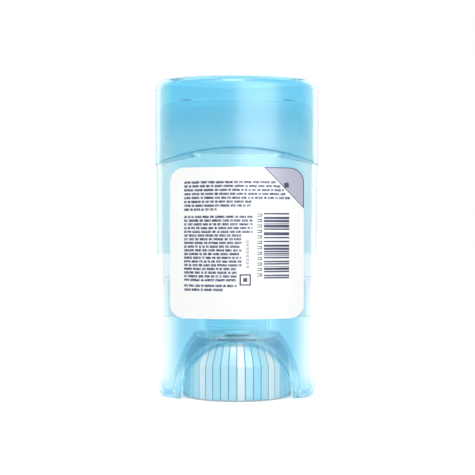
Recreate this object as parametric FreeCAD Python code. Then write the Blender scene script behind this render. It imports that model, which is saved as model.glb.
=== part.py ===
import FreeCAD
import Part
import math
import os

# Clear gel deodorant stick: oval barrel, arched cap line, ribbed dial and a screw that lifts a piston.
# Millimetres, +Z up, the feet stand on Z = 0 and the labelled back faces -Y.

Vector = FreeCAD.Vector
X_AXIS = Vector(1, 0, 0)
Y_AXIS = Vector(0, 1, 0)
Z_AXIS = Vector(0, 0, 1)
ORIGIN = Vector(0, 0, 0)

# Overall form
height = 114.0
half_width = 29.05
half_depth = 16.5
end_radius = 9.5
draft = 0.65
cap_proud = 0.35

# Walls
barrel_wall = 1.3
cap_wall = 1.2
floor_wall = 1.2

# Cap, shorter in the middle of each face than at the ends, and the neck inside it
cap_height_middle = 25.9
cap_height_end = 31.2
cap_edge_radius = 3.8
line_gap = 0.25
neck_clearance = 0.15
neck_rise = 2.9

# Inner cover
cover_gap = 6.2
cover_edge_radius = 5.5
cover_wall = 0.8
cover_clearance = 0.25

# Applicator dome
dome_flange = 1.0
dome_wall = 1.2
dome_plug = 4.0
dome_clearance = 0.4
dome_radius_across = 30.0
dome_radius_along = 80.0
dome_hole_radius = 0.9
dome_hole_rows = 5
dome_hole_columns = 9
dome_hole_end_margin = 6.12
dome_hole_side_margin = 6.77

# Dial pocket, a bell of revolution whose wall curves in towards its flat top
pocket_mouth_gap = 2.95
pocket_curve = 35.0
pocket_top = 21.6
foot_round = 4.3
foot_round_overrun = 0.05
collar_radius = 11.9
collar_wall = 1.3
collar_height = 4.8

# Dial
dial_radius = 19.5
dial_lift = 0.4
dial_gap = 0.7
dial_top_gap = 1.0
dial_wall = 1.5
dial_hub_radius = 7.0
dial_webs = 6
rib_count = 42
rib_height = 0.35
rib_groove = 0.45
rib_end_below_top = 1.7

# Feed screw and its thread, left-hand so that a turn anticlockwise from above lifts the piston
thread_pitch = 4.0
core_radius = 4.0
thread_depth = 1.2
thread_root_width = 2.2
thread_crest_width = 1.0
thread_clearance = 0.4
stem_radius = 4.5
running_clearance = 0.08
flange_thickness = 1.6
spigot_side = 6.2
spigot_length = 12.0
snap_head = 1.4
snap_radius = 3.6

# Piston
piston_height = 14.4
piston_bottom_gap = 0.8
piston_top_gap = 0.2
piston_lip_clearance = 0.15
piston_lip_height = 1.2
piston_lip_depth = 0.55
piston_wall = 1.3
nut_height = 8.0
nut_wall = 2.4
gel_clearance = 0.05

# Labels
label_bottom = 28.5
label_top_gap = 1.2
label_end_margin = 5.3
label_corner = 5.0
label_ply = 0.1
leaf_ply = 0.12
leaf_cut = 14.3
front_label_inset = 2.0

# Derived places, from the base up
line_crown = height - cap_height_middle
line_end = height - cap_height_end
line_rise = line_crown - line_end
line_radius = ((half_width + cap_proud) ** 2 + line_rise**2) / (2 * line_rise)
neck_top = line_crown + neck_rise
floor_top = pocket_top + floor_wall
collar_top = floor_top + collar_height
piston_bottom = collar_top + piston_bottom_gap
piston_top = piston_bottom + piston_height
plug_bottom = neck_top - dome_plug
travel = plug_bottom - piston_top_gap - piston_top
screw_top = piston_bottom + nut_height + travel - running_clearance
dome_base = neck_top + dome_flange
cover_top = height - cap_wall - cover_gap
dome_top = cover_top - cover_wall - dome_clearance
dome_axis_height = dome_top - dome_radius_along
spigot_top = pocket_top - dial_top_gap
spigot_bottom = spigot_top - spigot_length
label_top = line_end - label_top_gap
label_half_width = half_width - label_end_margin

# Derived insets and radii
bore_inset = draft + barrel_wall
neck_inset = cap_wall - cap_proud + neck_clearance
cover_inset = neck_inset + running_clearance
dome_inset = cover_inset + cover_wall + cover_clearance
pocket_mouth_radius = dial_radius + pocket_mouth_gap
pocket_axis_offset = pocket_curve - pocket_mouth_radius
crest_radius = core_radius + thread_depth
hub_bore_radius = crest_radius + thread_clearance


def oval_wire(inset, z):
    """Four tangent arcs, small at the ends and nearly flat on the faces, moved in by the inset."""
    centre_x = half_width - end_radius
    width = half_width - inset
    depth = half_depth - inset
    small = end_radius - inset
    large = (centre_x**2 + depth**2 - small**2) / (2 * (depth - small))
    large_y = large - depth
    ratio = large / (large - small)
    join = Vector(centre_x * ratio, large_y * (ratio - 1.0), z)
    corners = [
        Vector(join.x, join.y, z),
        Vector(-join.x, join.y, z),
        Vector(-join.x, -join.y, z),
        Vector(join.x, -join.y, z),
    ]
    middles = [
        Vector(0, depth, z),
        Vector(-width, 0, z),
        Vector(0, -depth, z),
        Vector(width, 0, z),
    ]
    edges = []
    for index in range(4):
        arc = Part.Arc(corners[index], middles[index], corners[(index + 1) % 4])
        edges.append(arc.toShape())
    return Part.Wire(edges)


def oval_column(inset, bottom, top):
    face = Part.Face(oval_wire(inset, bottom))
    return face.extrude(Vector(0, 0, top - bottom))


def oval_taper(outset, top):
    """The drafted outside of the barrel, from the feet up, moved out by the outset."""
    lean = draft / line_crown
    lower = oval_wire(draft - outset, 0.0)
    upper = oval_wire(draft - outset - lean * top, top)
    return Part.makeLoft([lower, upper], True, True)


def edges_at(shape, z):
    """Edges of a shape that lie level at one height."""
    found = []
    for edge in shape.Edges:
        box = edge.BoundBox
        if abs(box.ZMin - z) < 0.01 and abs(box.ZMax - z) < 0.01:
            found.append(edge)
    return found


def rounded_column(inset, bottom, top, radius):
    column = oval_column(inset, bottom, top)
    return column.makeFillet(radius, edges_at(column, top))


def below_line(gap):
    """Everything under the arched line, moved up by the gap."""
    length = 4 * half_width
    centre = Vector(0, -length / 2, line_crown - line_radius)
    return Part.makeCylinder(line_radius + gap, length, centre, Y_AXIS)


def end_rounder(reach, bottom, radius):
    """A block across the part whose two lower corners are rounded, to round the ends of the feet."""
    side = reach + 2 * radius
    top = height + radius
    left = -reach
    diagonal = radius * (1 - math.sqrt(0.5))
    points = {
        "left_low": Vector(left + radius, 0, bottom),
        "left_mid": Vector(left + diagonal, 0, bottom + diagonal),
        "left_high": Vector(left, 0, bottom + radius),
        "right_low": Vector(reach - radius, 0, bottom),
        "right_mid": Vector(reach - diagonal, 0, bottom + diagonal),
        "right_high": Vector(reach, 0, bottom + radius),
    }
    edges = [
        Part.Arc(points["left_low"], points["left_mid"], points["left_high"]).toShape(),
        Part.makePolygon([
            points["left_high"],
            Vector(-side, 0, bottom + radius),
            Vector(-side, 0, top),
            Vector(side, 0, top),
            Vector(side, 0, bottom + radius),
            points["right_high"],
        ]),
        Part.Arc(points["right_high"], points["right_mid"], points["right_low"]).toShape(),
        Part.makeLine(points["right_low"], points["left_low"]),
    ]
    wire = Part.Wire([edge for shape in edges for edge in shape.Edges])
    face = Part.Face(wire)
    face.translate(Vector(0, -2 * half_depth, 0))
    return face.extrude(Vector(0, 4 * half_depth, 0))


def bell_radius(z, inset):
    """Radius of the pocket's curved wall at a height, moved in by the inset."""
    return math.sqrt((pocket_curve - inset) ** 2 - z**2) - pocket_axis_offset


def bell_height(radius, inset):
    """Height at which the pocket's curved wall has a radius, moved in by the inset."""
    return math.sqrt((pocket_curve - inset) ** 2 - (radius + pocket_axis_offset) ** 2)


def bell_point(z, inset):
    return Vector(bell_radius(z, inset), 0, z)


def bell_arc(low, high, inset):
    middle = (low + high) / 2
    return Part.Arc(bell_point(low, inset), bell_point(middle, inset), bell_point(high, inset)).toShape()


def turned(edges, degrees=360.0):
    """A solid turned about the Z axis from a closed outline in the XZ plane."""
    face = Part.Face(Part.Wire(edges))
    return face.revolve(ORIGIN, Z_AXIS, degrees)


def outline(points):
    """Straight edges through points given as radius and height."""
    vectors = [Vector(radius, 0, z) for radius, z in points]
    return Part.makePolygon(vectors).Edges


def tube(outer, inner, bottom, top):
    length = top - bottom
    wall = Part.makeCylinder(outer, length, Vector(0, 0, bottom))
    return wall.cut(Part.makeCylinder(inner, length, Vector(0, 0, bottom)))


def bell(inset, bottom, top):
    """The pocket's shape as a solid from a bottom below the feet to a flat top."""
    mouth = bell_radius(0.0, inset)
    edges = outline([(bell_radius(top, inset), top), (0, top), (0, bottom), (mouth, bottom), (mouth, 0)])
    return turned(edges + [bell_arc(0.0, top, inset)])


def helical_ridge(base_radius, tip_radius, base_width, tip_width, bottom, turns):
    """A left-hand ridge of tapered section that winds up from the bottom height."""
    helix = Part.makeLongHelix(thread_pitch, thread_pitch * turns, base_radius, 0, True)
    helix.translate(Vector(0, 0, bottom))
    section = Part.makePolygon([
        Vector(base_radius, 0, bottom - base_width / 2),
        Vector(tip_radius, 0, bottom - tip_width / 2),
        Vector(tip_radius, 0, bottom + tip_width / 2),
        Vector(base_radius, 0, bottom + base_width / 2),
        Vector(base_radius, 0, bottom - base_width / 2),
    ])
    return Part.Wire(helix.Edges).makePipeShell([section], True, True)


def make_cap():
    outer = rounded_column(-cap_proud, line_end - cap_edge_radius, height, cap_edge_radius)
    inner = rounded_column(
        cap_wall - cap_proud,
        line_end - 2 * cap_edge_radius,
        height - cap_wall,
        cap_edge_radius - cap_wall,
    )
    return outer.cut(inner).cut(below_line(line_gap))


def make_seal_cover():
    outer = rounded_column(cover_inset, dome_base, cover_top, cover_edge_radius)
    inner = rounded_column(
        cover_inset + cover_wall,
        dome_base - cover_wall,
        cover_top - cover_wall,
        cover_edge_radius - cover_wall,
    )
    return outer.cut(inner)


def crown(inset):
    """A crowned form, curved tightly across and gently along, that tops the dome."""
    centre = Vector(0, 0, dome_axis_height)
    sweep = dome_radius_along - dome_radius_across
    return Part.makeTorus(sweep, dome_radius_across - inset, centre, Y_AXIS)


def make_applicator_dome():
    head = oval_column(dome_inset, neck_top, height).common(crown(0.0))
    flange = oval_column(cover_inset, neck_top, dome_base)
    plug = oval_column(bore_inset + gel_clearance, plug_bottom, dome_base)
    hollow = oval_column(dome_inset + dome_wall, plug_bottom - 1, height).common(crown(dome_wall))
    dome = head.fuse([flange, plug]).cut(hollow)
    column_pitch = 2 * (half_width - dome_inset - dome_hole_end_margin) / (dome_hole_columns - 1)
    row_pitch = 2 * (half_depth - dome_inset - dome_hole_side_margin) / (dome_hole_rows - 1)
    holes = []
    for row in range(dome_hole_rows):
        columns = dome_hole_columns - row % 2
        for column in range(columns):
            x = (column - (columns - 1) / 2) * column_pitch
            y = (row - (dome_hole_rows - 1) / 2) * row_pitch
            holes.append(Part.makeCylinder(dome_hole_radius, height, Vector(x, y, dome_base)))
    return dome.cut(holes).removeSplitter()


def make_barrel():
    outside = oval_taper(0.0, neck_top).common(below_line(0.0))
    reach = half_width - draft + draft * foot_round / line_crown + foot_round_overrun
    outside = outside.common(end_rounder(reach, 0.0, foot_round))
    neck = oval_column(neck_inset, line_end - foot_round, neck_top)
    bore = oval_column(bore_inset, barrel_wall, neck_top + 1)
    reach = half_width - bore_inset + foot_round_overrun
    bore = bore.common(end_rounder(reach, barrel_wall, foot_round - barrel_wall))
    chamber = bore.cut(bell(-floor_wall, -1.0, floor_top))
    collar = tube(collar_radius, collar_radius - collar_wall, floor_top, collar_top)
    shell = outside.fuse(neck).cut(chamber).cut(bell(0.0, -1.0, pocket_top))
    stem_hole = Part.makeCylinder(stem_radius + running_clearance, height, ORIGIN)
    shell = shell.fuse(collar).cut(stem_hole)
    return shell


def make_gel_fill():
    step = plug_bottom - gel_clearance
    lower = oval_column(bore_inset + gel_clearance, piston_top + gel_clearance, step)
    upper = oval_column(dome_inset + dome_wall + gel_clearance, step, height)
    fill = lower.fuse(upper).common(crown(dome_wall + gel_clearance))
    room = Part.makeCylinder(crest_radius + gel_clearance, screw_top + gel_clearance, ORIGIN)
    return fill.cut(room).removeSplitter()


def make_elevator():
    lip_inset = bore_inset + piston_lip_clearance
    skirt_inset = lip_inset + piston_lip_depth
    body = oval_column(skirt_inset, piston_bottom, piston_top)
    lips = [
        oval_column(lip_inset, piston_bottom, piston_bottom + piston_lip_height),
        oval_column(lip_inset, piston_top - piston_lip_height, piston_top),
    ]
    hollow = oval_column(skirt_inset + piston_wall, piston_bottom, piston_top - piston_wall)
    cup = body.fuse(lips).cut(hollow)
    inside = oval_column(skirt_inset, piston_bottom, piston_top)
    web_x = (hub_bore_radius + nut_wall + half_width - skirt_inset) / 2
    webs = []
    for x in (-web_x, web_x):
        webs.append(web_block(x, 0, piston_wall, 2 * half_depth))
    webs.append(web_block(0, 0, 2 * half_width, piston_wall))
    webs.append(web_block(0, 0, piston_wall, 2 * half_depth))
    hub_radius = hub_bore_radius + nut_wall
    hub = Part.makeCylinder(hub_radius, piston_top - piston_bottom, Vector(0, 0, piston_bottom))
    cup = cup.fuse([web.common(inside) for web in webs] + [hub])
    cup = cup.cut(Part.makeCylinder(hub_bore_radius, height, ORIGIN))
    ridge_base = thread_pitch - thread_crest_width - 2 * thread_clearance
    ridge_tip = thread_pitch - thread_root_width - 2 * thread_clearance
    turns = (nut_height - thread_pitch / 2) / thread_pitch
    ridge = helical_ridge(
        hub_bore_radius + nut_wall / 4,
        core_radius + thread_clearance,
        ridge_base,
        ridge_tip,
        nut_ridge_start,
        turns,
    )
    return cup.fuse(ridge).removeSplitter()


def web_block(x, y, size_x, size_y):
    corner = Vector(x - size_x / 2, y - size_y / 2, piston_bottom)
    return Part.makeBox(size_x, size_y, piston_top - piston_bottom - piston_wall / 2, corner)


def make_feed_screw():
    flange_radius = collar_radius - collar_wall - dial_gap
    flange_bottom = floor_top + running_clearance
    flange_top = flange_bottom + flange_thickness
    parts = [
        Part.makeCylinder(flange_radius, flange_thickness, Vector(0, 0, flange_bottom)),
        Part.makeCylinder(stem_radius, flange_top - spigot_top, Vector(0, 0, spigot_top)),
        Part.makeBox(
            spigot_side,
            spigot_side,
            spigot_length,
            Vector(-spigot_side / 2, -spigot_side / 2, spigot_bottom),
        ),
        Part.makeCylinder(snap_radius, snap_head, Vector(0, 0, spigot_bottom - snap_head)),
        helical_ridge(
            core_radius - thread_clearance,
            crest_radius,
            thread_root_width,
            thread_crest_width,
            screw_thread_start,
            screw_thread_turns,
        ),
    ]
    core = Part.makeCylinder(core_radius, screw_top - flange_bottom, Vector(0, 0, flange_bottom))
    return core.fuse(parts).removeSplitter()


def dial_form(bottom, radius, inset, top):
    """A drum whose shoulder follows the pocket's curved wall up to a flat top."""
    knee = bell_height(radius, inset)
    shoulder = bell_radius(top, inset)
    edges = outline([(shoulder, top), (0, top), (0, bottom), (radius, bottom), (radius, knee)])
    return turned(edges + [bell_arc(knee, top, inset)])


def make_dial():
    top = pocket_top - dial_top_gap
    base_inset = dial_gap + rib_height
    base_radius = dial_radius - rib_height
    outside = dial_form(dial_lift, base_radius, base_inset, top)
    inside = dial_form(0.0, base_radius - dial_wall, base_inset + dial_wall, top - dial_wall)
    cup = outside.cut(inside)
    hub = Part.makeCylinder(dial_hub_radius, top - spigot_bottom, Vector(0, 0, spigot_bottom))
    step = Part.makeCylinder(dial_hub_radius, dial_top_gap - 2 * running_clearance, Vector(0, 0, top))
    webs = []
    for index in range(dial_webs):
        web = Part.makeBox(dial_radius, dial_wall, top, Vector(0, -dial_wall / 2, spigot_bottom / 2))
        web.rotate(ORIGIN, Z_AXIS, 360.0 * index / dial_webs)
        webs.append(web.common(inside))
    cup = cup.fuse([hub, step] + webs)
    socket = spigot_side + 2 * running_clearance
    openings = [
        Part.makeBox(socket, socket, height, Vector(-socket / 2, -socket / 2, 0)),
        Part.makeCylinder(stem_radius + running_clearance, height, Vector(0, 0, top)),
        Part.makeCylinder(snap_radius + running_clearance, spigot_bottom, ORIGIN),
    ]
    return cup.cut(openings).fuse(dial_ribs())


def dial_ribs():
    """Raised ribs that run up the dial's wall and over its shoulder, with narrow grooves between."""
    low = dial_lift
    high = pocket_top - dial_top_gap - rib_end_below_top
    root_inset = dial_gap + 2 * rib_height
    root_radius = dial_radius - 2 * rib_height
    knee = bell_height(dial_radius, dial_gap)
    root_knee = bell_height(root_radius, root_inset)
    foot = [(root_radius, root_knee), (root_radius, low), (dial_radius, low), (dial_radius, knee)]
    edges = outline(foot)
    edges.append(bell_arc(knee, high, dial_gap))
    edges.append(Part.makeLine(bell_point(high, dial_gap), bell_point(high, root_inset)))
    edges.append(bell_arc(root_knee, high, root_inset))
    pitch = 360.0 / rib_count
    groove = math.degrees(rib_groove / dial_radius)
    rib = turned(Part.__sortEdges__(edges), pitch - groove)
    ribs = []
    for index in range(rib_count):
        copy = rib.copy()
        copy.rotate(ORIGIN, Z_AXIS, index * pitch + (pitch + groove) / 2)
        ribs.append(copy)
    return ribs


def label_prism(half, bottom, top, corner, side):
    """A block with rounded corners that reaches out from the middle through one face of the barrel."""
    width = 2 * half
    block = Part.makeBox(width, 2 * half_depth, top - bottom, Vector(-half, 0, bottom))
    upright = []
    for edge in block.Edges:
        box = edge.BoundBox
        if box.YLength > half_depth:
            upright.append(edge)
    block = block.makeFillet(corner, upright)
    if side < 0:
        block.translate(Vector(0, -2 * half_depth, 0))
    return block


def ply(lower, upper):
    """A thin skin over the barrel between two outsets."""
    return oval_taper(upper, neck_top).cut(oval_taper(lower, neck_top))


def make_label_base():
    prism = label_prism(label_half_width, label_bottom, label_top, label_corner, -1)
    return ply(0.0, label_ply).common(prism)


def make_label_leaf():
    prism = label_prism(label_half_width, label_bottom, label_top, label_corner, -1)
    corner = [
        Vector(label_half_width - leaf_cut, 0, label_top),
        Vector(label_half_width, 0, label_top),
        Vector(label_half_width, 0, label_top - leaf_cut),
        Vector(label_half_width - leaf_cut, 0, label_top),
    ]
    wedge = Part.Face(Part.makePolygon(corner)).extrude(Vector(0, -2 * half_depth, 0))
    return ply(label_ply, label_ply + leaf_ply).common(prism.cut(wedge))


def make_front_label():
    half = label_half_width - front_label_inset
    bottom = label_bottom + front_label_inset
    prism = label_prism(half, bottom, label_top - front_label_inset, label_corner, 1)
    return ply(0.0, label_ply).common(prism)


# The screw's ridge ends just under its tip, and the nut's ridge lies half a pitch away from it
screw_thread_turns = int((screw_top - collar_top) / thread_pitch)
screw_thread_start = screw_top - thread_pitch / 2 - screw_thread_turns * thread_pitch
nut_ridge_start = screw_thread_start + thread_pitch * (
    math.ceil((piston_bottom - screw_thread_start) / thread_pitch) + 0.5
)

nodes = {
    "cap": make_cap,
    "seal_cover": make_seal_cover,
    "applicator_dome": make_applicator_dome,
    "barrel": make_barrel,
    "gel_fill": make_gel_fill,
    "elevator": make_elevator,
    "feed_screw": make_feed_screw,
    "dial": make_dial,
    "label_base": make_label_base,
    "label_leaf": make_label_leaf,
    "front_label": make_front_label,
}

os.makedirs("parts", exist_ok=True)
for name, make in nodes.items():
    shape = make()
    shape.exportStep(os.path.join("parts", name + ".step"))
    print(name, len(shape.Solids), shape.isValid(), round(shape.Volume, 1))
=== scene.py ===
import bpy
import bmesh
import math
import random
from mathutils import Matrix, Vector


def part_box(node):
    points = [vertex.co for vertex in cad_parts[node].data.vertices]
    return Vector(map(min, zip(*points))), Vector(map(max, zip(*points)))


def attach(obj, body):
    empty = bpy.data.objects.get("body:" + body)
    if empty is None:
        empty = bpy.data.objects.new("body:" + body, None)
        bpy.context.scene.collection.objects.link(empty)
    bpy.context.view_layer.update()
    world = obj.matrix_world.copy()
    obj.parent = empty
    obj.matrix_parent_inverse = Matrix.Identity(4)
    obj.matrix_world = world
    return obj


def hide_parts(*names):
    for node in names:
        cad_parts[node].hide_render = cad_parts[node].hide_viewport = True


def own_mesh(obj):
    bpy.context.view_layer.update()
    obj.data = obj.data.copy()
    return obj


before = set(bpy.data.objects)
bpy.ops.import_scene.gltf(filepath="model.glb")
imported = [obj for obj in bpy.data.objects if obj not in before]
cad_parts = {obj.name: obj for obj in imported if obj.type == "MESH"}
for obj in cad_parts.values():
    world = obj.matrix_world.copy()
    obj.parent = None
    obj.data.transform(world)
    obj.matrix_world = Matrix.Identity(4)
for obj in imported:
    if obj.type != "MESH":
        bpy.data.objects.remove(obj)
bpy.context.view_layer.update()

MM = 0.001

# Oval form of the pack
HALF_WIDTH = 29.05
HALF_DEPTH = 16.5
END_RADIUS = 9.5
DRAFT = 0.65
LINE_CROWN = 88.1
LINE_END = 82.8
LINE_GAP = 0.25
CAP_PROUD = 0.35

# Points along half a face and along one end of the oval, and rings along the walls
FACE_STEPS = 26
END_STEPS = 24
CAP_STEPS = 8
BARREL_STEPS = 18
SHOULDER_STEPS = 3

# Flat tops are closed by rings that reach in this far, and no further than the end radius
FILL_INSET = 9.0
FILL_SHARES = (0.35, 1.0)

# Angles in degrees up to which an edge is shaded smooth
SHELL_SMOOTH = 35
DIAL_SMOOTH = 40
CAD_SMOOTH = 30
LABEL_SMOOTH = 20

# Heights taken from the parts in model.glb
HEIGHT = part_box("cap")[1].z / MM
NECK_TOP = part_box("barrel")[1].z / MM
COVER_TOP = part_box("seal_cover")[1].z / MM
COVER_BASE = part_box("seal_cover")[0].z / MM
DIAL_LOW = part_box("dial")[0].z / MM
LABEL_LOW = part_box("label_base")[0].z / MM
LABEL_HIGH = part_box("label_base")[1].z / MM
LABEL_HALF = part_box("label_base")[1].x / MM
FRONT_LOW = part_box("front_label")[0].z / MM
FRONT_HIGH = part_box("front_label")[1].z / MM
FRONT_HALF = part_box("front_label")[1].x / MM

# Walls and edges
CAP_WALL = 1.2
CAP_EDGE = 3.8
COVER_WALL = 0.8
COVER_EDGE = 5.5
BARREL_WALL = 1.3
NECK_INSET = 1.0
COVER_INSET = 1.08
FOOT_ROUND = 4.3
FOOT_WIDENING = 5.0
FOOT_SEAM = 0.02
OVERRUN = 0.05
RIM_EDGE = 0.18
WAIST = LINE_END - 6

# Cutting tools start under the part and end this far over what they cut
TOOL_LOW = -1.0
TOOL_OVER = 1

# Dial pocket and dial
POCKET_MOUTH = 22.45
POCKET_CURVE = 35.0
POCKET_TOP = 21.6
FLOOR_WALL = 1.2
COLLAR_RADIUS = 11.9
COLLAR_WALL = 1.3
COLLAR_HEIGHT = 4.8
STEM_HOLE = 4.58
DIAL_RADIUS = 19.5
DIAL_GAP = 0.7
DIAL_WALL = 1.5
DIAL_HUB = 7.0
DIAL_TOP = 20.6
DIAL_STEP = 0.84
DIAL_EDGE = 0.35
DIAL_ROUND = 0.5
DIAL_ROOF = 4.0
DIAL_INNER_STEPS = 6
DIAL_RIBS = 42
RIB_DEPTH = 0.35
RIB_END = 1.7
RIB_STRAIGHT_END = 0.3
RIB_STRAIGHT_STEPS = 6
RIB_CURVE_STEPS = 11
GROOVE_SHARE = 0.08
BEVEL_SHARE = 0.3
HUB_LOW = 8.6
SOCKET_HALF = 3.18
SNAP_RADIUS = 3.68
WEB_LOW = 4.3
WEB_COUNT = 6
WEB_SINK = 0.2

# The gel is cut in two at its step under the dome, with a fine gap so that no faces coincide
GEL_STEP = 86.95
GEL_CUT_UNDER = 0.05
GEL_CUT_OVER = 0.02
BISECT_FINE = 0.0001

# Labels
BASE_PLY = 0.1
LEAF_PLY = 0.12
LABEL_CORNER = 5.0
LEAF_CUT = 14.3
INK = 0.02
BORDER = 0.28
BEND_PITCH = 1.4

# Print on the back label, as places across and up: words on lines given as top, pitch and right ends
WORD_HEIGHT = 0.84
WORD_LENGTHS = (0.9, 1.3, 1.8, 2.3, 2.8, 3.4)
WORD_GAP = 0.38
SHORTEST_WORD = 0.5
LINES_LEFT = -18.6
UPPER_LINES = (76.3, 1.36, (13.6, 15.2, 16.4, 17.7, 18.7, 5.4, 4.8, -7.1))
LOWER_LINES = (64.2, 1.3, (5.5,) * 5 + (1.6,) * 9 + (-0.1,) * 4)
LAST_LINES = ((LINES_LEFT, -0.1, 40.1), (LINES_LEFT, -5.0, 38.7))

# Block of stripes
STRIPES_LEFT = 9.4
STRIPES_RIGHT = 18.4
STRIPES_LOW = 42.2
STRIPES_HIGH = 65.6
STRIPE_WIDTHS = (0.27, 0.27, 0.54, 0.54, 0.81, 1.08)
STRIPE_GAPS = (0.27, 0.27, 0.54, 0.81)

# Column of open brackets beside the stripes
BRACKET_COUNT = 12
BRACKET_TOP = 64.3
BRACKET_PITCH = 1.9
BRACKET_LEFT = 7.0
BRACKET_BACK = 8.4
BRACKET_RIGHT = 8.7
BRACKET_LINE = 0.3
BRACKET_MOUTH = 0.75
BRACKET_HEIGHT = 1.05

# Column of paired dashes, and the boxes of the small framed square
DASH_COUNT = 8
DASH_TOP = 55.2
DASH_PITCH = 1.25
DASH_LEFT = 3.1
DASH_RIGHT = 4.3
DASH_LINE = 0.22
DASH_RISE = 0.5
DASH_HEIGHT = 0.72
SQUARE_BOXES = (
    (0.9, 4.9, 43.7, 44.2),
    (0.9, 4.9, 40.2, 40.7),
    (0.9, 1.4, 40.7, 43.7),
    (4.4, 4.9, 40.7, 43.7),
    (2.2, 3.6, 41.5, 42.9),
)

# Mark on the label's free corner
LIFT_MARK_HALF = 0.85
LIFT_MARK_TURN = -12
LIFT_MARK_X = 17.45
LIFT_MARK_Z = 75.4

# Bands in which one colour runs into the next: heights, distances from the middle, or from a line
CAP_RISE = (84.0, 105.0)
# Band where the cap's ends turn to a painted reflection
CAP_PAINTED_SHEEN_BAND = (22.5, 28.5)
# Band of painted shade along the cap's lower edge, above the arched line
CAP_LINE = (0.45, 0.75)
BARREL_RISE = (25.0, 80.0)
# Band where the barrel's ends turn to a painted reflection
BARREL_PAINTED_SHEEN_BAND = (18.5, 27.5)
BELLY_SIDE = (9.0, 15.0)
FOOT_RISE = (1.5, 8.0)
POCKET_WALL_BAND = (1.2, 1.5)
# Bands of the painted shade round the dial's arch, as distances from the pocket's wall
RIM_START = (0.05, 0.12)
RIM_STOP = (0.3, 0.6)
# Band of painted shade in the dial's grooves
GROOVE_SHADE_BAND = (0.40, 0.47)

# Waves on the front label: how steep and high they are, and where each blue ends
WAVE_TURN = 0.12
WAVE_RISE = 3.5
WAVE_HIGH = (55.9, 56.1)
WAVE_MIDDLE = (49.9, 50.1)
WAVE_LOW = (47.9, 48.1)

# Linear colours with their alpha
WHITE = (1.0, 1.0, 1.0, 1.0)
BLACK = (0.0, 0.0, 0.0, 1.0)
HALF_GREY = (0.5, 0.5, 0.5, 1.0)
CAP_LOW_BLUE = (0.68, 0.94, 1.0, 1.0)
CAP_HIGH_BLUE = (0.40, 0.83, 0.98, 1.0)
# Painted reflection that pales the cap's ends
CAP_END_PAINTED_SHEEN = (0.80, 0.96, 1.0, 1.0)
# Painted shade along the cap's lower edge
CAP_LINE_PAINTED_SHADE = (0.16, 0.55, 0.75, 1.0)
COVER_BLUE = (0.88, 0.98, 1.0, 1.0)
BELLY_BLUE = (0.53, 0.90, 1.0, 1.0)
FLANK_BLUE = (0.45, 0.77, 0.90, 1.0)
BARREL_HIGH_BLUE = (0.72, 0.94, 1.0, 1.0)
# Painted reflection that makes the barrel's ends nearly white
BARREL_END_PAINTED_SHEEN = (0.97, 0.995, 1.0, 1.0)
FOOT_BLUE = (0.66, 0.90, 1.0, 1.0)
POCKET_WALL_BLUE = (0.66, 0.93, 1.0, 1.0)
# Painted shade round the dial's arch
POCKET_RIM_PAINTED_SHADE = (0.26, 0.60, 0.76, 1.0)
# Painted reflection: each rib's tone runs at random between these two blues
RIB_DEEP_BLUE = (0.34, 0.81, 1.0, 1.0)
RIB_PAINTED_SHINE_BLUE = (0.84, 0.97, 1.0, 1.0)
# Painted shade in the dial's grooves
GROOVE_PAINTED_SHADE = (0.26, 0.62, 0.82, 1.0)
MILKY_BLUE = (0.93, 0.985, 1.0, 1.0)
GEL_BLUE = (0.95, 0.985, 1.0, 1.0)
FLOOR_PAINT = (0.82, 0.82, 0.82, 1.0)
FLOOR_GLOW = (0.4, 0.4, 0.4, 1.0)
ROOM_SHINE = (0.66, 0.91, 0.99, 1.0)

# Size of a letter's strokes in the small print, in metres
LETTER = 0.0004

# Stage and camera, in metres
FLOOR_SIZE = 8.0
FLOOR_HEIGHT = -0.00005
ROOM_STRENGTH = 0.97
ROOM_SHOWN_EXTRA = 0.03
AIM_MIDDLE = (0, 0, 0.06)
AIM_TOP = (0, 0, 0.1)
CAMERA_PLACE = (0.0002, -0.433, 0.057)
CAMERA_LENS = 90.6
BOUNCES = 32
GLOSSY_BOUNCES = 6


def deselect():
    bpy.ops.object.select_all(action="DESELECT")


def active(name):
    """Names the object that was just added, and its mesh."""
    piece = bpy.context.object
    piece.name = name
    piece.data.name = name
    return piece


def only(piece):
    deselect()
    piece.select_set(True)
    bpy.context.view_layer.objects.active = piece


def settle(piece):
    """Puts a piece's place, turn and size into its mesh."""
    only(piece)
    bpy.ops.object.transform_apply(location=True, rotation=True, scale=True)
    return piece


def apply_modifiers(piece):
    only(piece)
    for modifier in list(piece.modifiers):
        bpy.ops.object.modifier_apply(modifier=modifier.name)
    return piece


def smooth(piece, degrees=SHELL_SMOOTH):
    only(piece)
    bpy.ops.object.shade_smooth_by_angle(angle=math.radians(degrees))
    return piece


def outwards(piece):
    only(piece)
    bpy.ops.object.mode_set(mode="EDIT")
    bpy.ops.mesh.select_all(action="SELECT")
    bpy.ops.mesh.remove_doubles(threshold=0.001 * MM)
    bpy.ops.mesh.normals_make_consistent(inside=False)
    bpy.ops.object.mode_set(mode="OBJECT")
    return piece


def oval_arcs(inset):
    """Centres and radii of the oval's face and end arcs, and the angle at which they meet."""
    centre_x = HALF_WIDTH - END_RADIUS
    depth = HALF_DEPTH - inset
    small = END_RADIUS - inset
    large = (centre_x**2 + depth**2 - small**2) / (2 * (depth - small))
    return centre_x, small, large, large - depth, math.asin(centre_x / (large - small))


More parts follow.
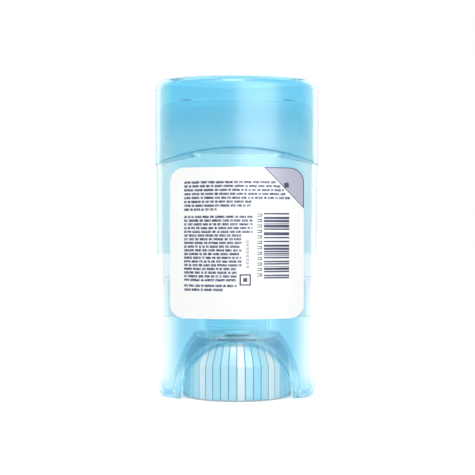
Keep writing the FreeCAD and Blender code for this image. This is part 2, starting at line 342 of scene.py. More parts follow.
def oval_outline(inset):
    """Points round the oval, from the middle of the +Y face towards +X. Any inset gives the same count."""
    centre_x, small, large, drop, meet = oval_arcs(inset)
    quarter = []
    for step in range(FACE_STEPS):
        angle = meet * step / FACE_STEPS
        quarter.append((large * math.sin(angle), large * math.cos(angle) - drop))
    for step in range(END_STEPS):
        angle = meet + (math.pi / 2 - meet) * step / END_STEPS
        quarter.append((centre_x + small * math.sin(angle), small * math.cos(angle)))
    half = quarter + [(centre_x + small, 0.0)] + [(x, -y) for x, y in reversed(quarter)]
    return half + [(-x, y) for x, y in reversed(half[1:-1])]


def face_y(x, inset):
    """Depth of the oval's face at a place across it."""
    _, _, large, drop, _ = oval_arcs(inset)
    return math.sqrt(large**2 - x**2) - drop


def line_radius():
    """Radius of the arched line where the cap meets the barrel."""
    half = HALF_WIDTH + CAP_PROUD
    rise = LINE_CROWN - LINE_END
    return (half**2 + rise**2) / (2 * rise)


def line_height(x):
    """Height of the arched line at a place across it."""
    radius = line_radius()
    return LINE_CROWN - radius + math.sqrt(radius**2 - x**2)


def wall_inset(z):
    """Inset of the barrel's drafted outside at a height."""
    return DRAFT * (1 - z / LINE_CROWN)


def loft(name, rings):
    """Extrudes a circle ring by ring, sets each ring to its own points and closes both ends."""
    count = len(rings[0])
    deselect()
    bpy.ops.mesh.primitive_circle_add(vertices=count, radius=HALF_WIDTH * MM, fill_type="NOTHING")
    piece = active(name)
    bpy.ops.object.mode_set(mode="EDIT")
    bpy.ops.mesh.select_all(action="SELECT")
    places = list(range(count))
    for index, ring in enumerate(rings):
        if index:
            bpy.ops.mesh.extrude_region_move()
        mesh = bmesh.from_edit_mesh(piece.data)
        mesh.verts.ensure_lookup_table()
        mesh.verts.index_update()
        if index:
            places = [grown_from(mesh.verts[place], index * count) for place in places]
        for place, point in zip(places, ring):
            mesh.verts[place].co = Vector(point) * MM
        bmesh.update_edit_mesh(piece.data)
    bpy.ops.mesh.edge_face_add()
    bpy.ops.mesh.select_all(action="DESELECT")
    mesh = bmesh.from_edit_mesh(piece.data)
    mesh.verts.ensure_lookup_table()
    for place in range(count):
        mesh.verts[place].select = True
    mesh.select_flush(True)
    bmesh.update_edit_mesh(piece.data)
    bpy.ops.mesh.edge_face_add()
    bpy.ops.object.mode_set(mode="OBJECT")
    return outwards(piece)


def grown_from(vertex, first_new):
    """Index of the vertex that the last extrude drew out of this one."""
    for edge in vertex.link_edges:
        other = edge.other_vert(vertex)
        if other.index >= first_new:
            return other.index
    raise RuntimeError("the extrude left a vertex behind")


def oval_ring(inset, z):
    """One level ring of the oval."""
    return [(x, y, z) for x, y in oval_outline(inset)]


def line_ring(inset, gap):
    """One ring of the oval that follows the arched line, moved up by the gap."""
    return [(x, y, line_height(x) + gap) for x, y in oval_outline(inset)]


def between(low_ring, high_ring, steps):
    """Rings evenly spaced between two, without the first."""
    rings = []
    for step in range(1, steps + 1):
        share = step / steps
        rings.append([
            tuple(a + (b - a) * share for a, b in zip(low, high))
            for low, high in zip(low_ring, high_ring)
        ])
    return rings


def top_edge_rings(inset, top, radius, steps=10):
    """Rings that turn from the wall over a rounded edge into the flat top."""
    rings = []
    for step in range(steps + 1):
        angle = math.pi / 2 * step / steps
        ring_inset = inset + radius * (1 - math.cos(angle))
        rings.append(oval_ring(ring_inset, top - radius * (1 - math.sin(angle))))
    return rings


def top_fill_rings(inset, top):
    """Rings that close a flat top towards its middle, so that its face stays smooth."""
    return [oval_ring(inset + (FILL_INSET - inset) * share, top) for share in FILL_SHARES]


def cut(piece, tool, operation="DIFFERENCE"):
    """Cuts, joins or meets a piece with a tool, which is then removed."""
    modifier = piece.modifiers.new("cut", "BOOLEAN")
    modifier.operation = operation
    modifier.solver = "EXACT"
    modifier.object = tool
    apply_modifiers(piece)
    bpy.data.objects.remove(tool)
    return piece


def cylinder(name, radius, low, high, steps=96):
    deselect()
    bpy.ops.mesh.primitive_cylinder_add(
        vertices=steps,
        radius=radius * MM,
        depth=(high - low) * MM,
        location=(0, 0, (low + high) / 2 * MM),
    )
    return settle(active(name))


def block(name, low, high):
    """A box between two corners given in millimetres."""
    deselect()
    centre = [(a + b) / 2 * MM for a, b in zip(low, high)]
    bpy.ops.mesh.primitive_cube_add(size=1.0, location=centre)
    piece = active(name)
    piece.scale = [(b - a) * MM for a, b in zip(low, high)]
    return settle(piece)


def round_ring(radius, z, steps=168):
    """One level ring of a circle."""
    turn = 2 * math.pi / steps
    return [(radius * math.sin(turn * i), radius * math.cos(turn * i), z) for i in range(steps)]


def bell_radius(z, inset=0.0):
    """Radius of the dial pocket's curved wall at a height, moved in by the inset."""
    return math.sqrt((POCKET_CURVE - inset) ** 2 - z**2) - (POCKET_CURVE - POCKET_MOUTH)


def bell_height(radius, inset=0.0):
    """Height at which the dial pocket's curved wall has a radius, moved in by the inset."""
    return math.sqrt((POCKET_CURVE - inset) ** 2 - (radius + POCKET_CURVE - POCKET_MOUTH) ** 2)


def bell(name, inset, low, high, steps=20):
    """The dial pocket's shape as a closed solid."""
    rings = [round_ring(bell_radius(0.0, inset), low)]
    for step in range(steps + 1):
        z = high * math.sin(math.pi / 2 * step / steps)
        rings.append(round_ring(bell_radius(z, inset), z))
    rings.append(round_ring(bell_radius(high, inset) / 2, high))
    return loft(name, rings)


def make_cap():
    inner = CAP_WALL - CAP_PROUD
    low = line_ring(-CAP_PROUD, LINE_GAP + RIM_EDGE)
    wall_top = oval_ring(-CAP_PROUD, HEIGHT - CAP_EDGE)
    inner_top = HEIGHT - CAP_WALL
    inner_edge = CAP_EDGE - CAP_WALL
    inside = top_edge_rings(inner, inner_top, inner_edge)
    rings = list(reversed(top_fill_rings(inner + inner_edge, inner_top)))
    rings += list(reversed(inside))
    rings += between(inside[0], line_ring(inner, LINE_GAP + RIM_EDGE), CAP_STEPS)
    rings.append(line_ring(inner - RIM_EDGE, LINE_GAP))
    rings.append(line_ring(-CAP_PROUD + RIM_EDGE, LINE_GAP))
    rings.append(line_ring(-CAP_PROUD + RIM_EDGE / 4, LINE_GAP + RIM_EDGE / 4))
    rings.append(low)
    rings += between(low, wall_top, CAP_STEPS)
    rings += top_edge_rings(-CAP_PROUD, HEIGHT, CAP_EDGE)[1:]
    rings += top_fill_rings(-CAP_PROUD + CAP_EDGE, HEIGHT)
    piece = smooth(loft("cap_shell", rings))
    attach(piece, "cap")
    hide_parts("cap")
    return piece


def make_cover():
    inner = COVER_INSET + COVER_WALL
    inside = top_edge_rings(inner, COVER_TOP - COVER_WALL, COVER_EDGE - COVER_WALL)
    outside = top_edge_rings(COVER_INSET, COVER_TOP, COVER_EDGE)
    rings = list(reversed(top_fill_rings(inner + COVER_EDGE - COVER_WALL, COVER_TOP - COVER_WALL)))
    rings += list(reversed(inside))
    rings.append(oval_ring(inner, COVER_BASE))
    rings.append(oval_ring(COVER_INSET, COVER_BASE))
    rings += outside
    rings += top_fill_rings(COVER_INSET + COVER_EDGE, COVER_TOP)
    piece = smooth(loft("inner_cover", rings))
    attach(piece, "barrel")
    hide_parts("seal_cover")
    return piece


def make_barrel():
    """Oval tube with neck, shoulder, dial pocket, collar and feet, in one piece."""
    bore_inset = DRAFT + BARREL_WALL
    floor_top = POCKET_TOP + FLOOR_WALL
    foot = oval_ring(DRAFT, 0.0)
    waist = oval_ring(wall_inset(WAIST), WAIST)
    rings = [foot] + between(foot, waist, BARREL_STEPS)
    rings += between(waist, line_ring(0.0, -RIM_EDGE), SHOULDER_STEPS)
    rings.append(line_ring(RIM_EDGE, 0.0))
    rings.append(line_ring(NECK_INSET, 0.0))
    rings.append(oval_ring(NECK_INSET, NECK_TOP))
    rings += top_fill_rings(NECK_INSET, NECK_TOP)
    piece = loft("barrel_shell", rings)
    reach = HALF_WIDTH - wall_inset(FOOT_ROUND) + OVERRUN
    cut(piece, end_block("foot_ends", reach, 0.0, FOOT_ROUND), "INTERSECT")
    low = oval_ring(bore_inset, BARREL_WALL)
    high = oval_ring(bore_inset, NECK_TOP + TOOL_OVER)
    bore = loft("bore", [low] + between(low, high, BARREL_STEPS))
    reach = HALF_WIDTH - bore_inset + OVERRUN
    cut(bore, end_block("bore_ends", reach, BARREL_WALL, FOOT_ROUND - BARREL_WALL), "INTERSECT")
    cut(bore, bell("pocket_wall", -FLOOR_WALL, TOOL_LOW, floor_top))
    cut(piece, bore)
    cut(piece, bell("pocket", 0.0, TOOL_LOW, POCKET_TOP))
    collar = cylinder("collar", COLLAR_RADIUS, floor_top - 0.5, floor_top + COLLAR_HEIGHT)
    cut(collar, cylinder("collar_bore", COLLAR_RADIUS - COLLAR_WALL, floor_top, HEIGHT))
    cut(piece, collar, "UNION")
    cut(piece, cylinder("stem_hole", STEM_HOLE, TOOL_LOW, HEIGHT))
    smooth(piece)
    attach(piece, "barrel")
    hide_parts("barrel")
    return piece


def end_block(name, reach, low, radius, steps=12):
    """A block across the part whose two lower edges are rounded."""
    deselect()
    bpy.ops.mesh.primitive_plane_add(size=1.0)
    piece = active(name)
    piece.scale = (2 * reach * MM, 3 * HEIGHT * MM, 1.0)
    piece.rotation_euler = (math.pi / 2, 0, 0)
    piece.location = (0, -2 * HALF_DEPTH * MM, (low + 1.5 * HEIGHT) * MM)
    settle(piece)
    bpy.ops.object.mode_set(mode="EDIT")
    mesh = bmesh.from_edit_mesh(piece.data)
    for vertex in mesh.verts:
        vertex.select = vertex.co.z < (low + TOOL_OVER) * MM
    mesh.select_flush(False)
    bmesh.update_edit_mesh(piece.data)
    bpy.ops.mesh.bevel(offset=radius * MM, segments=steps, affect="VERTICES")
    bpy.ops.mesh.select_all(action="SELECT")
    bpy.ops.mesh.extrude_region_move(TRANSFORM_OT_translate={"value": (0, 4 * HALF_DEPTH * MM, 0)})
    bpy.ops.object.mode_set(mode="OBJECT")
    outwards(piece)
    widen_above(piece, low + radius, FOOT_WIDENING)
    return piece


def widen_above(piece, z, extra):
    """Moves the sides above a height outwards, so that the block only rounds the lower ends."""
    only(piece)
    bpy.ops.object.mode_set(mode="EDIT")
    bpy.ops.mesh.select_all(action="SELECT")
    bpy.ops.mesh.bisect(plane_co=(0, 0, (z + FOOT_SEAM) * MM), plane_no=(0, 0, 1))
    mesh = bmesh.from_edit_mesh(piece.data)
    for vertex in mesh.verts:
        if vertex.co.z > (z + FOOT_SEAM / 2) * MM:
            vertex.co.x += math.copysign(extra * MM, vertex.co.x)
    bmesh.update_edit_mesh(piece.data)
    bpy.ops.object.mode_set(mode="OBJECT")


def rib_ring(radius, depth, z, profile=None):
    """One ring of the dial: each rib is a flat facet between two narrow grooves."""
    ring = []
    for rib in range(DIAL_RIBS):
        for share, drop in ((0.0, depth), (GROOVE_SHARE, 0.0), (1 - GROOVE_SHARE, 0.0)):
            angle = 2 * math.pi * (rib + share) / DIAL_RIBS
            reach = (radius if profile is None else bell_radius(z, profile)) - drop
            ring.append((reach * math.sin(angle), reach * math.cos(angle), z))
    return ring


def make_dial():
    """Ribbed cup with a hub, a bearing step and webs under it."""
    steps = DIAL_RIBS * 3
    high = DIAL_TOP - RIB_END
    knee = bell_height(DIAL_RADIUS, DIAL_GAP)
    bevel = DIAL_EDGE * BEVEL_SHARE
    inner_radius = DIAL_RADIUS - RIB_DEPTH - DIAL_WALL
    inner_inset = DIAL_GAP + RIB_DEPTH + DIAL_WALL
    inner_top = DIAL_TOP - DIAL_WALL
    inner_knee = bell_height(inner_radius, inner_inset)
    inner_end = bell_radius(inner_top, inner_inset)
    rings = [round_ring(inner_end * share, inner_top, steps) for share in (0.5, 1.0)]
    for step in range(1, DIAL_INNER_STEPS + 1):
        z = inner_top + (inner_knee - inner_top) * step / DIAL_INNER_STEPS
        rings.append(round_ring(bell_radius(z, inner_inset), z, steps))
    rings.append(round_ring(inner_radius, DIAL_LOW, steps))
    rings.append(rib_ring(DIAL_RADIUS - DIAL_EDGE, 0.0, DIAL_LOW))
    rings.append(rib_ring(DIAL_RADIUS - bevel, RIB_DEPTH * (1 - BEVEL_SHARE), DIAL_LOW + bevel))
    rings.append(rib_ring(DIAL_RADIUS, RIB_DEPTH, DIAL_LOW + DIAL_EDGE))
    straight_end = rib_ring(DIAL_RADIUS, RIB_DEPTH, knee - RIB_STRAIGHT_END)
    rings += between(rings[-1], straight_end, RIB_STRAIGHT_STEPS)
    for step in range(RIB_CURVE_STEPS + 1):
        z = knee + (high - knee) * step / RIB_CURVE_STEPS
        rings.append(rib_ring(0.0, RIB_DEPTH, z, DIAL_GAP))
    round_start = DIAL_TOP - DIAL_ROUND
    round_middle = DIAL_ROUND * BEVEL_SHARE
    for z, inset in (
        (high + DIAL_EDGE, 0.05),
        (round_start, 0.0),
        (DIAL_TOP - round_middle, round_middle),
        (DIAL_TOP, DIAL_ROUND),
        (DIAL_TOP, DIAL_ROOF),
    ):
        reach = bell_radius(min(z, round_start), DIAL_GAP + RIB_DEPTH) - inset
        rings.append(round_ring(reach, z, steps))
    piece = loft("dial_wheel", rings)
    cut(piece, cylinder("hub", DIAL_HUB, HUB_LOW, DIAL_TOP + DIAL_STEP, 64), "UNION")
    half_wall = DIAL_WALL / 2
    for index in range(WEB_COUNT // 2):
        web = block("web", (-DIAL_RADIUS, -half_wall, WEB_LOW), (DIAL_RADIUS, half_wall, round_start))
        web.rotation_euler = (0, 0, math.pi / (WEB_COUNT // 2) * index)
        settle(web)
        cut(web, bell("web_form", inner_inset - WEB_SINK, TOOL_LOW, round_start), "INTERSECT")
        cut(web, cylinder("web_reach", inner_radius + WEB_SINK, 0.0, HEIGHT), "INTERSECT")
        cut(piece, web, "UNION")
    cut(piece, block("socket", (-SOCKET_HALF, -SOCKET_HALF, TOOL_LOW), (SOCKET_HALF, SOCKET_HALF, HEIGHT)))
    cut(piece, cylinder("snap_room", SNAP_RADIUS, TOOL_LOW, HUB_LOW, 48))
    cut(piece, cylinder("stem_room", STEM_HOLE, DIAL_TOP, HEIGHT, 64))
    smooth(piece, DIAL_SMOOTH)
    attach(piece, "dial")
    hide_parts("dial")
    return piece


def merged_copy(node, name, body):
    """A CAD node's mesh with its doubles merged and its curved faces smooth."""
    piece = bpy.data.objects.new(name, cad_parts[node].data.copy())
    piece.data.name = name
    bpy.context.scene.collection.objects.link(piece)
    outwards(piece)
    smooth(piece, CAD_SMOOTH)
    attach(piece, body)
    return piece


def keep_side(piece, z, keep_above):
    """Cuts a closed piece level at a height and closes it again."""
    only(piece)
    bpy.ops.object.mode_set(mode="EDIT")
    bpy.ops.mesh.select_all(action="SELECT")
    bpy.ops.mesh.bisect(
        plane_co=(0, 0, z * MM),
        plane_no=(0, 0, 1),
        threshold=BISECT_FINE * MM,
        use_fill=True,
        clear_inner=keep_above,
        clear_outer=not keep_above,
    )
    bpy.ops.object.mode_set(mode="OBJECT")
    outwards(piece)
    return smooth(piece, CAD_SMOOTH)


def make_gel():
    """The gel in two pieces: the column that the piston uses up and the head inside the dome."""
    column = merged_copy("gel_fill", "gel_column", "barrel")
    keep_side(column, GEL_STEP - GEL_CUT_UNDER, False)
    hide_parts("gel_fill")
    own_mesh(column)
    head = merged_copy("gel_fill", "gel_head", "barrel")
    keep_side(head, GEL_STEP + GEL_CUT_OVER, True)
    return [column, head]


def flat_plate(name, left, right, low, high):
    """An upright flat rectangle in the middle plane, seen from the front."""
    deselect()
    bpy.ops.mesh.primitive_plane_add(size=1.0)
    piece = active(name)
    piece.scale = ((right - left) * MM, (high - low) * MM, 1.0)
    piece.rotation_euler = (math.pi / 2, 0, 0)
    piece.location = ((left + right) / 2 * MM, 0, (low + high) / 2 * MM)
    return settle(piece)


def round_corners(piece, radius, steps=10):
    only(piece)
    bpy.ops.object.mode_set(mode="EDIT")
    bpy.ops.mesh.select_all(action="SELECT")
    bpy.ops.mesh.bevel(offset=radius * MM, segments=steps, affect="VERTICES")
    bpy.ops.object.mode_set(mode="OBJECT")
    return piece


def cut_corner(piece, keep_outer):
    """Cuts a label along the diagonal of its free corner, and keeps one side."""
    only(piece)
    bpy.ops.object.mode_set(mode="EDIT")
    bpy.ops.mesh.select_all(action="SELECT")
    bpy.ops.mesh.bisect(
        plane_co=((LABEL_HALF - LEAF_CUT) * MM, 0, LABEL_HIGH * MM),
        plane_no=(1, 0, 1),
        clear_outer=not keep_outer,
        clear_inner=keep_outer,
    )
    bpy.ops.object.mode_set(mode="OBJECT")
    return piece


def lay_on_face(piece, side, lower, upper):
    """Bends flat shapes onto a face of the barrel, with their back and front at two outsets."""
    only(piece)
    bpy.ops.object.mode_set(mode="EDIT")
    reach = max(abs(vertex.co.x) for vertex in piece.data.vertices) / MM
    most = int(reach / BEND_PITCH)
    for step in range(-most, most + 1):
        bpy.ops.mesh.select_all(action="SELECT")
        bpy.ops.mesh.bisect(plane_co=(step * BEND_PITCH * MM, 0, 0), plane_no=(1, 0, 0))
    bpy.ops.mesh.select_all(action="SELECT")
    bpy.ops.mesh.extrude_region_move(TRANSFORM_OT_translate={"value": (0, side * HALF_DEPTH * MM, 0)})
    mesh = bmesh.from_edit_mesh(piece.data)
    for vertex in mesh.verts:
        x, z = vertex.co.x / MM, vertex.co.z / MM
        outset = upper if vertex.co.y * side > 1 * MM else lower
        vertex.co.y = side * face_y(x, wall_inset(z) - outset) * MM
    bmesh.update_edit_mesh(piece.data)
    bpy.ops.object.mode_set(mode="OBJECT")
    outwards(piece)
    return smooth(piece, LABEL_SMOOTH)


def label_plate(name, half, low, high):
    """A flat label with its rounded corners."""
    return round_corners(flat_plate(name, -half, half, low, high), LABEL_CORNER)


def make_labels():
    """The back label's base and its leaf with a cut corner, and the plain front label."""
    base = label_plate("label_under", LABEL_HALF, LABEL_LOW, LABEL_HIGH)
    lay_on_face(base, -1, 0.0, BASE_PLY)
    leaf = label_plate("label_top", LABEL_HALF, LABEL_LOW, LABEL_HIGH)
    lay_on_face(cut_corner(leaf, False), -1, BASE_PLY, BASE_PLY + LEAF_PLY)
    front = label_plate("label_front", FRONT_HALF, FRONT_LOW, FRONT_HIGH)
    lay_on_face(front, 1, 0.0, BASE_PLY)
    for piece, node, slot in (
        (base, "label_base", "label_lilac"),
        (leaf, "label_leaf", "label_white"),
        (front, "front_label", "label_front"),
    ):
        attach(piece, "barrel")
        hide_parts(node)
    return base, leaf, front


def bars(name, boxes):
    """Flat bars given as left, right, low and high, joined into one shape."""
    plates = [flat_plate(name, *box) for box in boxes]
    deselect()
    for plate in plates:
        plate.select_set(True)
    bpy.context.view_layer.objects.active = plates[0]
    bpy.ops.object.join()
    return active(name)


def text_lines(top, pitch, ends):
    """Lines of words as left, right and middle height."""
    return [(LINES_LEFT, end, top - pitch * index) for index, end in enumerate(ends)]


def word_boxes(lines, chance):
    """Bars as long as words, that fill the lines."""
    boxes = []
    for left, right, z in lines:
        start = left
        while start < right - SHORTEST_WORD:
            end = min(start + chance.choice(WORD_LENGTHS), right)
            boxes.append((start, end, z - WORD_HEIGHT / 2, z + WORD_HEIGHT / 2))
            start = end + WORD_GAP
    return boxes


def stripe_boxes(chance):
    """Stripes of a few widths, drawn from the top down."""
    boxes = []
    z = STRIPES_HIGH
    while z > STRIPES_LOW:
        thick = chance.choice(STRIPE_WIDTHS)
        boxes.append((STRIPES_LEFT, STRIPES_RIGHT, z - thick, z))
        z -= thick + chance.choice(STRIPE_GAPS)
    return boxes


def mark_boxes():
    """The brackets and the dashes beside the stripes."""
    boxes = []
    for index in range(BRACKET_COUNT):
        low = BRACKET_TOP - BRACKET_PITCH * index
        boxes += [
            (BRACKET_LEFT, BRACKET_RIGHT, low, low + BRACKET_LINE),
            (BRACKET_LEFT, BRACKET_RIGHT, low + BRACKET_MOUTH, low + BRACKET_HEIGHT),
            (BRACKET_BACK, BRACKET_RIGHT, low + BRACKET_LINE, low + BRACKET_MOUTH),
        ]
    for index in range(DASH_COUNT):
        low = DASH_TOP - DASH_PITCH * index
        boxes += [
            (DASH_LEFT, DASH_RIGHT, low, low + DASH_LINE),
            (DASH_LEFT, DASH_RIGHT, low + DASH_RISE, low + DASH_HEIGHT),
        ]
    return boxes


def make_print():
    """Rows of plain marks where the label has its small print, a block of stripes and a small square."""
    chance = random.Random(11)
    lines = text_lines(*UPPER_LINES) + text_lines(*LOWER_LINES) + list(LAST_LINES)
    words = bars("small_print", word_boxes(lines, chance))
    block = bars("stripe_block", stripe_boxes(chance) + mark_boxes() + list(SQUARE_BOXES))
    for piece in (words, block):
        lay_on_face(piece, -1, BASE_PLY + LEAF_PLY, BASE_PLY + LEAF_PLY + INK)
        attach(piece, "barrel")
    return words, block


def make_corner_print():
    """The thin border of the label's free corner and the small mark that shows where to lift it."""
    border = label_plate("corner_border", LABEL_HALF, LABEL_LOW, LABEL_HIGH)
    cut_corner(border, True)
    only(border)
    bpy.ops.object.mode_set(mode="EDIT")
    bpy.ops.mesh.select_all(action="SELECT")
    bpy.ops.mesh.inset(thickness=BORDER * MM, depth=0)
    bpy.ops.mesh.delete(type="FACE")
    bpy.ops.object.mode_set(mode="OBJECT")
    half = LIFT_MARK_HALF
    mark = flat_plate("lift_mark", -half, half, -half, half)
    mark.rotation_euler = (0, math.radians(LIFT_MARK_TURN), 0)
    mark.location = (LIFT_MARK_X * MM, 0, LIFT_MARK_Z * MM)
    settle(mark)
    for piece in (border, mark):
        lay_on_face(piece, -1, BASE_PLY, BASE_PLY + INK)
        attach(piece, "barrel")
    return border, mark


class Value:
    """A node's output that takes part in sums, each of which adds its Math node."""

    def __init__(self, finish, socket):
        self.finish = finish
        self.socket = socket

    def sum(self, operation, *terms):
        return self.finish.node("ShaderNodeMath", {"operation": operation}, dict(enumerate(terms)))

    def __add__(self, other):
        return self.sum("ADD", self, other)

    def __radd__(self, other):
        return self.sum("ADD", other, self)

    def __sub__(self, other):
        return self.sum("SUBTRACT", self, other)

    def __rsub__(self, other):
        return self.sum("SUBTRACT", other, self)

    def __mul__(self, other):
        return self.sum("MULTIPLY", self, other)

    def __abs__(self):
        return self.sum("ABSOLUTE", self)

    def __pow__(self, other):
        return self.sum("POWER", self, other)


class Finish:
    """A material, world or lamp tree that is built from plain calls."""

    def __init__(self, owner, output="ShaderNodeOutputMaterial"):
        owner.use_nodes = True
        self.owner = owner
        self.tree = owner.node_tree
        self.tree.nodes.clear()
        self.output = self.tree.nodes.new(output)

    def node(self, kind, settings=None, inputs=None, output=0):
        """Adds a node: its settings first, then the values or links of its sockets."""
        node = self.tree.nodes.new(kind)
        for name, value in (settings or {}).items():
            setattr(node, name, value)
        for name, value in (inputs or {}).items():
            if isinstance(value, Value):
                self.tree.links.new(value.socket, node.inputs[name])
            else:
                node.inputs[name].default_value = value
        return Value(self, node.outputs[output])

    def finish_with(self, surface):
        self.tree.links.new(surface.socket, self.output.inputs["Surface"])
        return self.owner

    def place(self):
        return self.node("ShaderNodeTexCoord", output="Object")

    def axis(self, name):
        """Distance along one axis of the object, in millimetres."""
        return self.node("ShaderNodeSeparateXYZ", {}, {0: self.place()}, name) * 1000.0

    def step(self, value, start, end):
        """Rises smoothly from 0 to 1 between two values."""
        settings = {"interpolation_type": "SMOOTHSTEP"}
        return self.node("ShaderNodeMapRange", settings, {0: value, 1: start, 2: end})

    def mix(self, share, first, second, blend="MIX"):
        """Colour between two, or the first one multiplied by the second."""
        settings = {"data_type": "RGBA", "blend_type": blend}
        return self.node("ShaderNodeMix", settings, {0: share, 6: first, 7: second}, 2)


def tint(red, green, blue):
    """A colour given as it shows on screen, from 0 to 255."""
    channels = []
    for value in (red, green, blue):
        share = value / 255
        channels.append(share / 12.92 if share <= 0.04045 else ((share + 0.055) / 1.055) ** 2.4)
    return (*channels, 1.0)


def plastic(name, colour, passing, roughness=0.05, bend=1.04, gloss=0.2, coat=1.0):
    """Moulded plastic, part clear and part milky, under a glossy skin. The colour may be a function."""
    finish = Finish(bpy.data.materials.new(name))
    flow = finish.node("ShaderNodeTexNoise", {}, {"Vector": finish.place(), "Scale": 60.0, "Detail": 1.0})
    bump = finish.node("ShaderNodeBump", {}, {"Strength": 0.02, "Distance": 0.002, "Height": flow})
    return finish.finish_with(finish.node("ShaderNodeBsdfPrincipled", {}, {
        "Base Color": colour(finish) if callable(colour) else colour,
        "Roughness": roughness,
        "IOR": bend,
        "Transmission Weight": passing,
        "Coat Weight": coat,
        "Coat Roughness": gloss,
        "Coat IOR": 1.5,
        "Normal": bump,
    }))


def line_distance(finish):
    """Height above the arched line where the cap meets the barrel, in millimetres."""
    radius = line_radius()
    square = radius**2 - finish.axis("X") ** 2.0
    arch = finish.node("ShaderNodeMath", {"operation": "SQRT"}, {0: square})
    return finish.axis("Z") - (arch + (LINE_CROWN - radius))


def cap_colour(finish):
    """Blue that deepens towards the top, pales at the ends with a painted reflection, and has painted shade
    darkest along the cap's lower edge.
    """
    rise = finish.step(finish.axis("Z"), *CAP_RISE)
    middle = finish.mix(rise, CAP_LOW_BLUE, CAP_HIGH_BLUE)
    # Painted reflection: the ends pale towards near white
    side = finish.step(abs(finish.axis("X")), *CAP_PAINTED_SHEEN_BAND)
    shade = finish.mix(side, middle, CAP_END_PAINTED_SHEEN)
    # Painted shade: darkest along the cap's lower edge
    edge = 1.0 - finish.step(line_distance(finish), *CAP_LINE)
    return finish.mix(edge, shade, CAP_LINE_PAINTED_SHADE)


def barrel_colour(finish):
    """Nearly clear and painted near white at the ends with a painted reflection, blue in the middle, paler
    upwards, with its own blue at the foot and on the pocket's wall, and painted shade as a dark edge round
    the dial's arch."""
    # Painted reflection: the ends turn nearly white
    side = finish.step(abs(finish.axis("X")), *BARREL_PAINTED_SHEEN_BAND)
    belly = finish.step(abs(finish.axis("X")), *BELLY_SIDE)
    low = finish.mix(belly, BELLY_BLUE, FLANK_BLUE)
    middle = finish.mix(finish.step(finish.axis("Z"), *BARREL_RISE), low, BARREL_HIGH_BLUE)
    shade = finish.mix(side, middle, BARREL_END_PAINTED_SHEEN)
    foot = finish.step(finish.axis("Z"), *FOOT_RISE)
    shade = finish.mix(foot, FOOT_BLUE, shade)
    across = (finish.axis("X") ** 2.0 + finish.axis("Y") ** 2.0) ** 0.5
    wall = (POCKET_CURVE**2 - finish.axis("Z") ** 2.0) ** 0.5 - (POCKET_CURVE - POCKET_MOUTH)
    gap = across - wall
    shade = finish.mix(finish.step(gap, *POCKET_WALL_BAND), POCKET_WALL_BLUE, shade)
    # Painted shade in a thin band round the dial's arch
    rim = finish.step(gap, *RIM_START) * (1.0 - finish.step(gap, *RIM_STOP))
    return finish.mix(rim, shade, POCKET_RIM_PAINTED_SHADE)


def dial_colour(finish):
    """Ribs painted in random tones from deep blue to near white, standing in for the reflections and
    refraction that make each facet look different, with painted shade in the grooves between them.
    """
    angle_of = {0: finish.axis("X"), 1: finish.axis("Y")}
    turn = finish.node("ShaderNodeMath", {"operation": "ARCTAN2"}, angle_of)
    count = turn * (DIAL_RIBS / (2 * math.pi)) + DIAL_RIBS
    whole = finish.node("ShaderNodeMath", {"operation": "FLOOR"}, {0: count})
    share = finish.node("ShaderNodeMath", {"operation": "FRACT"}, {0: count})
    # Painted reflection: a random tone for each rib
    painted_shine = finish.node("ShaderNodeTexWhiteNoise", {"noise_dimensions": "1D"}, {"W": whole})
    shade = finish.mix(painted_shine, RIB_DEEP_BLUE, RIB_PAINTED_SHINE_BLUE)
    # Painted shade in the grooves between the ribs
    groove = finish.step(abs(share - 0.5), *GROOVE_SHADE_BAND)
    return finish.mix(groove, shade, GROOVE_PAINTED_SHADE)


def paper(name, colour, sheen=0.25):
    """Coated label film with a faint grain. The colour may be a function."""
    finish = Finish(bpy.data.materials.new(name))
    place = finish.place()
    grain = finish.node("ShaderNodeTexNoise", {}, {"Vector": place, "Scale": 1800.0, "Detail": 3.0})
    cloud = finish.node("ShaderNodeTexNoise", {}, {"Vector": place, "Scale": 70.0, "Detail": 2.0})
    shade = colour(finish) if callable(colour) else colour
    shade = finish.mix(cloud * 0.07, shade, HALF_GREY, "MULTIPLY")
    bump = finish.node("ShaderNodeBump", {}, {"Strength": 0.06, "Distance": 0.0002, "Height": grain})
    return finish.finish_with(finish.node("ShaderNodeBsdfPrincipled", {}, {
        "Base Color": shade,
        "Roughness": 0.42 + grain * 0.1,
        "Coat Weight": sheen,
        "Coat Roughness": 0.25,
        "Normal": bump,
    }))


def front_colour(finish):
    """A plain design of waves in three blues under a pale field."""
    turn = finish.axis("X") * WAVE_TURN
    curl = finish.node("ShaderNodeMath", {"operation": "SINE"}, {0: turn})
    level = finish.axis("Z") - curl * WAVE_RISE
    shade = finish.mix(finish.step(level, *WAVE_HIGH), tint(150, 214, 240), tint(232, 244, 250))
    shade = finish.mix(finish.step(level, *WAVE_MIDDLE), tint(70, 160, 212), shade)
    return finish.mix(finish.step(level, *WAVE_LOW), tint(44, 120, 184), shade)


def ink(name, colour, gap_colour):
    """Print whose bars break up into strokes as small as letters."""
    finish = Finish(bpy.data.materials.new(name))
    stretch = finish.node("ShaderNodeMapping", {}, {"Vector": finish.place(), "Scale": (1.0, 0.0, 0.55)})
    strokes = finish.node("ShaderNodeTexNoise", {}, {"Vector": stretch, "Scale": 1 / LETTER, "Detail": 1.0})
    mask = finish.node("ShaderNodeMapRange", {}, {0: strokes, 1: 0.48, 2: 0.58})
    return finish.finish_with(finish.node("ShaderNodeBsdfPrincipled", {}, {
        "Base Color": finish.mix(mask, colour, gap_colour),
        "Roughness": 0.45,
    }))


def paint(piece, material):
    piece.data.materials.clear()
    piece.data.materials.append(material)


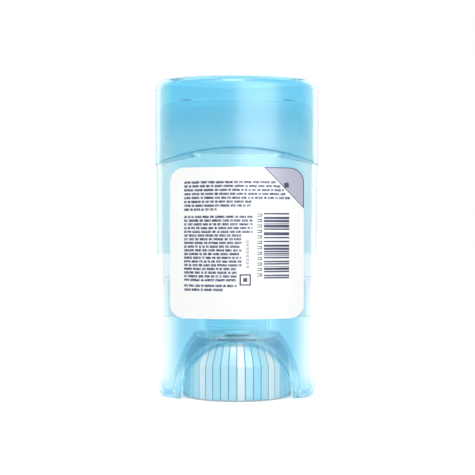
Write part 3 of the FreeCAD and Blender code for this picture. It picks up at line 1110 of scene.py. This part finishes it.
def make_stage():
    """A pale floor that keeps the shadow and shows white, and a white room that reflects as pale blue."""
    deselect()
    bpy.ops.mesh.primitive_plane_add(size=FLOOR_SIZE, location=(0, 0, FLOOR_HEIGHT))
    floor = settle(active("pale_floor"))
    finish = Finish(bpy.data.materials.new("floor_white"))
    seen = finish.node("ShaderNodeLightPath", output="Is Camera Ray")
    through = finish.node("ShaderNodeLightPath", output="Is Transmission Ray")
    surface = finish.node("ShaderNodeBsdfPrincipled", {}, {
        "Base Color": FLOOR_PAINT,
        "Roughness": 0.9,
        "Emission Color": finish.mix(seen + through, BLACK, FLOOR_GLOW),
        "Emission Strength": 1.0,
    })
    paint(floor, finish.finish_with(surface))
    world = bpy.data.worlds.new("white_room")
    bpy.context.scene.world = world
    finish = Finish(world, "ShaderNodeOutputWorld")
    seen = finish.node("ShaderNodeLightPath", output="Is Camera Ray")
    through = finish.node("ShaderNodeLightPath", output="Is Transmission Ray")
    shine = finish.node("ShaderNodeLightPath", output="Is Glossy Ray")
    shown = finish.node("ShaderNodeMath", {"operation": "MAXIMUM"}, {0: seen, 1: through})
    finish.finish_with(finish.node("ShaderNodeBackground", {}, {
        "Color": finish.mix(shine, WHITE, ROOM_SHINE),
        "Strength": ROOM_STRENGTH + shown * ROOM_SHOWN_EXTRA,
    }))


def lamp(name, place, aim, size, power, shine_only=False):
    """A soft box that points at a place on the object."""
    data = bpy.data.lights.new(name, "AREA")
    data.shape = "RECTANGLE"
    data.size, data.size_y = size
    data.energy = power
    box = bpy.data.objects.new(name, data)
    bpy.context.scene.collection.objects.link(box)
    box.location = place
    box.rotation_euler = (Vector(aim) - Vector(place)).to_track_quat("-Z", "Y").to_euler()
    box.visible_camera = False
    box.visible_transmission = False
    box.visible_diffuse = not shine_only


def make_camera():
    data = bpy.data.cameras.new("photo_camera")
    data.lens = CAMERA_LENS
    data.sensor_width = 36.0
    data.clip_start = 0.01
    camera = bpy.data.objects.new("photo_camera", data)
    bpy.context.scene.collection.objects.link(camera)
    camera.location = CAMERA_PLACE
    camera.rotation_euler = (math.pi / 2, 0, 0)
    bpy.context.scene.camera = camera


cap = make_cap()
cover = make_cover()
barrel = make_barrel()
dial = make_dial()
dome = merged_copy("applicator_dome", "dome_smooth", "barrel")
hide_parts("applicator_dome")
piston = merged_copy("elevator", "piston_smooth", "elevator")
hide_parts("elevator")
screw = merged_copy("feed_screw", "screw_smooth", "dial")
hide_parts("feed_screw")
gel = make_gel()
label_under, label_top, label_front = make_labels()
small_print, stripe_block = make_print()
corner_border, lift_mark = make_corner_print()

navy = tint(35, 45, 85)
paint(cap, plastic("cap_clear_blue", cap_colour, 0.88, gloss=0.28))
paint(cover, plastic("cover_clear_blue", COVER_BLUE, 0.93, 0.0, 1.02, coat=0.35))
paint(barrel, plastic("barrel_clear_blue", barrel_colour, 0.92, gloss=0.28))
paint(dial, plastic("dial_milky_blue", dial_colour, 0.15, 0.2, gloss=0.25))
milky = plastic("milky_pale_blue", MILKY_BLUE, 0.94, 0.0, 1.002, coat=0.0)
for piece in (dome, piston, screw):
    paint(piece, milky)
clear_gel = plastic("gel_pale_blue", GEL_BLUE, 0.99, 0.0, 1.001, coat=0.0)
for piece in gel:
    paint(piece, clear_gel)
paint(label_under, paper("label_lilac_film", tint(182, 183, 203)))
paint(label_top, paper("label_white_film", tint(250, 250, 248)))
paint(label_front, paper("label_front_film", front_colour))
paint(small_print, ink("print_navy_small", navy, tint(170, 175, 195)))
solid_navy = ink("print_navy_solid", navy, navy)
for piece in (stripe_block, corner_border, lift_mark):
    paint(piece, solid_navy)

make_stage()
lamp("soft_front", (-0.25, -0.7, 0.75), AIM_MIDDLE, (0.7, 0.5), 1.2)
lamp("soft_back", (0.3, 0.7, 0.6), AIM_MIDDLE, (0.7, 0.5), 1.0)
lamp("tall_shine", (0.12, -0.30, 0.12), AIM_MIDDLE, (0.24, 0.5), 2.4, True)
lamp("side_shine_right", (0.22, 0.12, 0.16), AIM_MIDDLE, (0.14, 0.34), 0.9, True)
lamp("side_shine_left", (-0.22, 0.12, 0.16), AIM_MIDDLE, (0.14, 0.34), 0.5, True)
lamp("top_shine", (-0.04, -0.35, 0.75), AIM_TOP, (0.2, 0.3), 3.0, True)
make_camera()
scene = bpy.context.scene
scene.view_settings.view_transform = "Standard"
scene.cycles.max_bounces = BOUNCES
scene.cycles.transmission_bounces = BOUNCES
scene.cycles.glossy_bounces = GLOSSY_BOUNCES
scene.cycles.transparent_max_bounces = BOUNCES
